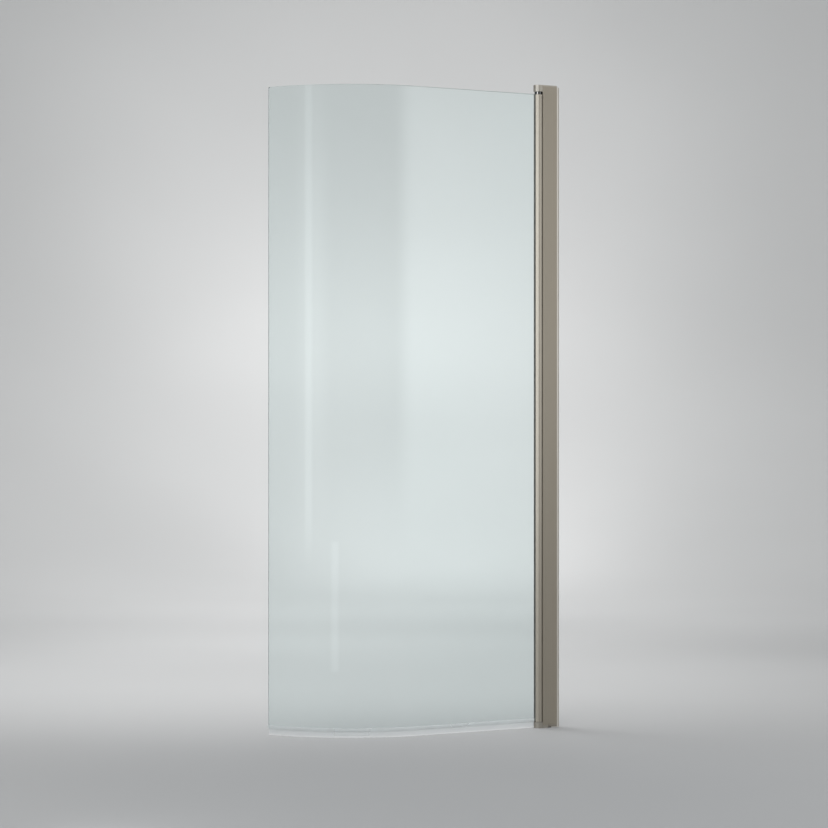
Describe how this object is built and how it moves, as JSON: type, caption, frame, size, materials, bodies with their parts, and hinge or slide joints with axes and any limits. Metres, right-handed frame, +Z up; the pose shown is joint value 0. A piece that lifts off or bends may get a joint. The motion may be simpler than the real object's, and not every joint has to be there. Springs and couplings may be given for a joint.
{
  "type": "shower screen",
  "caption": "Curved pivoting shower screen: a bent clear-glass leaf in a hinge tube that turns on pins in a telescopic wall profile.",
  "frame": {"origin": "on the wall plane, in the middle of the wall channel, at floor level", "axes": "+X into the wall that the screen is fixed to, +Z up along the wall channel, -Y towards the outside of the shower; the leaf reaches to -X and bends to +Y"},
  "size_m": [0.8839, 0.2782, 2.0006],
  "materials": {
    "anodised_profile": "satin bronze-champagne anodised extrusion with faint vertical drawing lines",
    "anodised_tube": "satin bronze-champagne anodised tube",
    "anodised_bracket": "fine blasted and anodised casting, bronze-champagne",
    "anodised_channel": "lighter satin anodised extrusion",
    "steel_screw": "turned stainless steel",
    "stainless_pin": "ground stainless steel",
    "bush_plastic": "glossy black moulded plastic",
    "end_cap_plastic": "satin moulded plastic, bronze-champagne",
    "seal_rubber": "grey extruded rubber",
    "wiper_rubber": "bronze-grey extruded rubber",
    "clear_glass": "clear toughened glass, very pale blue-green, polished edges",
    "clear_pvc": "clear, slightly milky flexible extruded plastic"
  },
  "bodies": {
    "wall": {"wall_channel": "anodised_channel", "channel_clamp_screws": "steel_screw"},
    "frame": {"hinge_profile": "anodised_profile", "inner_cover_strip": "anodised_profile", "tube_wiper_seal": "wiper_rubber", "top_bracket": "anodised_bracket", "top_bracket_screws": "steel_screw", "top_pivot_pin": "stainless_pin", "top_pin_grub_screw": "steel_screw", "top_pin_cap": "anodised_bracket", "bottom_bracket": "anodised_bracket", "bottom_bracket_screws": "steel_screw", "bottom_pivot_pin": "stainless_pin", "bottom_pin_grub_screw": "steel_screw", "thrust_washer": "end_cap_plastic", "profile_end_cap": "end_cap_plastic"},
    "door": {"hinge_tube": "anodised_tube", "top_bush": "bush_plastic", "bottom_bush": "bush_plastic", "glass_setting_blocks": "seal_rubber", "outer_glazing_seal": "seal_rubber", "inner_glazing_seal": "seal_rubber", "glass_panel": "clear_glass", "bottom_sweep": "clear_pvc"}
  },
  "joints": [
    {"name": "profile_adjust", "type": "slide", "parent": "wall", "child": "frame", "axis": [-1, 0, 0], "range_m": [-0.0065, 0.006]},
    {"name": "door_swing", "type": "hinge", "parent": "frame", "child": "door", "pos_m": [-0.0692, 0, 0], "axis": [0, 0, 1], "range_deg": [-70, 95]}
  ]
}
